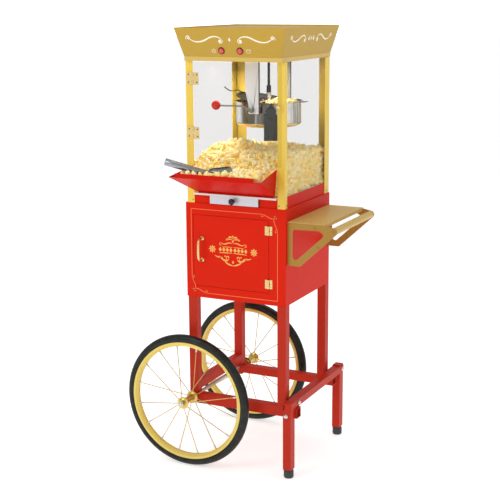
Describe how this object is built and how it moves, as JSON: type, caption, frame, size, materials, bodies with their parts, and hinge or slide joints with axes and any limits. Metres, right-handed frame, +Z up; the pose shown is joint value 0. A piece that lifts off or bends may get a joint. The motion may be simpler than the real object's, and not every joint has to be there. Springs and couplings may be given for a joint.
{
  "type": "popcorn cart",
  "caption": "Wheeled popcorn cart: glazed popper with tilting kettle and serving chute on a storage cabinet with shelf and push handle, carried by a stand with spoked wheels and feet.",
  "frame": {"origin": "middle of the bounding box at floor level", "axes": "+Z up, +X towards the side shelf and push handle, -Y towards the serving chute and doors"},
  "size_m": [0.6779, 0.5909, 1.35],
  "materials": {
    "red_paint": "gloss red enamel",
    "red_plastic": "gloss",
    "cream_paint": "satin cream",
    "gold_paint": "semi-gloss gold",
    "brass": "polished",
    "steel": "satin",
    "zinc": "bright zinc",
    "nickel": "polished",
    "alloy": "satin",
    "tyre": "matt",
    "rubber": "matt",
    "black_plastic": "gloss",
    "dark_plastic": "matt",
    "glass": "clear",
    "lamp_glass": "frosted",
    "popcorn": "matt"
  },
  "bodies": {
    "cart": {"leg_front_left": "red_paint", "leg_back_left": "red_paint", "leg_front_right": "red_paint", "leg_back_right": "red_paint", "front_rail": "red_paint", "rear_rail": "red_paint", "left_rail": "red_paint", "side_rail": "red_paint", "lower_leg_front": "red_paint", "lower_leg_back": "red_paint", "feet": "rubber", "frame_bolts": "zinc", "axle": "zinc", "cabinet_shell": "red_paint", "hinge_plates": "brass", "bracket_front": "gold_paint", "bracket_back": "gold_paint", "shelf": "gold_paint", "push_handle": "gold_paint", "popper_base": "red_paint", "deck_plate": "cream_paint", "corner_posts": "gold_paint", "left_glass": "glass", "right_glass": "glass", "back_glass": "glass", "chute": "red_paint", "marquee": "gold_paint", "marquee_base": "gold_paint", "button_bezels": "red_plastic", "stir_motor": "steel", "lamp": "lamp_glass", "kettle_hangers": "steel", "popcorn_heap": "popcorn", "power_inlet": "dark_plastic"},
    "front_wheel": {"tyre_front": "tyre", "rim_front": "gold_paint", "spokes_front": "gold_paint", "hub_front": "gold_paint"},
    "back_wheel": {"tyre_back": "tyre", "rim_back": "gold_paint", "spokes_back": "gold_paint", "hub_back": "gold_paint"},
    "storage_door": {"cabinet_door": "red_paint", "cabinet_door_leaves": "brass", "cabinet_handle": "brass"},
    "popper_door": {"glass_door": "glass", "glass_door_leaves": "brass", "glass_door_knob": "brass"},
    "drawer": {"crumb_drawer": "alloy", "drawer_knob": "black_plastic"},
    "kettle": {"kettle_pot": "nickel", "kettle_plug": "dark_plastic", "tilt_handle": "steel", "tilt_ball": "red_plastic"},
    "kettle_cover": {"kettle_lid": "steel"},
    "shaft": {"drive_shaft": "steel"},
    "stir_arm": {"stirrer": "steel"},
    "left_button": {"light_button": "red_plastic"},
    "right_button": {"kettle_button": "red_plastic"},
    "hand_scoop": {"scoop": "alloy"}
  },
  "joints": [
    {"name": "front_wheel_spin", "type": "hinge", "parent": "cart", "child": "front_wheel", "pos_m": [-0.128, -0.1995, 0.211], "axis": [0, 1, 0], "continuous": true},
    {"name": "back_wheel_spin", "type": "hinge", "parent": "cart", "child": "back_wheel", "pos_m": [-0.128, 0.2445, 0.211], "axis": [0, 1, 0], "continuous": true},
    {"name": "storage_door_swing", "type": "hinge", "parent": "cart", "child": "storage_door", "pos_m": [0.1276, -0.1507, 0.679], "axis": [0, 0, 1], "range_deg": [0, 110]},
    {"name": "popper_door_swing", "type": "hinge", "parent": "cart", "child": "popper_door", "pos_m": [-0.118, -0.1521, 1.12], "axis": [0, 0, -1], "range_deg": [0, 50]},
    {"name": "drawer_slide", "type": "slide", "parent": "cart", "child": "drawer", "axis": [0, -1, 0], "range_m": [0, 0.2]},
    {"name": "kettle_tilt", "type": "hinge", "parent": "cart", "child": "kettle", "pos_m": [0.043, 0.0375, 1.107], "axis": [0, 1, 0], "range_deg": [0, 40]},
    {"name": "lid_swing", "type": "hinge", "parent": "kettle", "child": "kettle_cover", "pos_m": [0.0318, 0.0375, 1.1294], "axis": [0, 1, 0], "range_deg": [-12, 3]},
    {"name": "shaft_spin", "type": "hinge", "parent": "cart", "child": "shaft", "pos_m": [0.043, 0.0375, 1.2], "axis": [0, 0, 1], "continuous": true},
    {"name": "stirrer_spin", "type": "hinge", "parent": "kettle", "child": "stir_arm", "pos_m": [0.043, 0.0375, 1.1], "axis": [0, 0, 1], "continuous": true},
    {"name": "left_button_press", "type": "slide", "parent": "cart", "child": "left_button", "axis": [0, 0.9585, 0.2853], "range_m": [0, 0.002], "stiffness_N_per_m": 900},
    {"name": "right_button_press", "type": "slide", "parent": "cart", "child": "right_button", "axis": [0, 0.9585, 0.2853], "range_m": [0, 0.002], "stiffness_N_per_m": 900},
    {"name": "scoop_lift", "type": "slide", "parent": "cart", "child": "hand_scoop", "axis": [-0.8364, -0.4636, 0.2924], "range_m": [0, 0.3]}
  ],
  "couplings": [
    {"joint": "shaft_spin", "follows": "stirrer_spin", "ratio": 1}
  ]
}
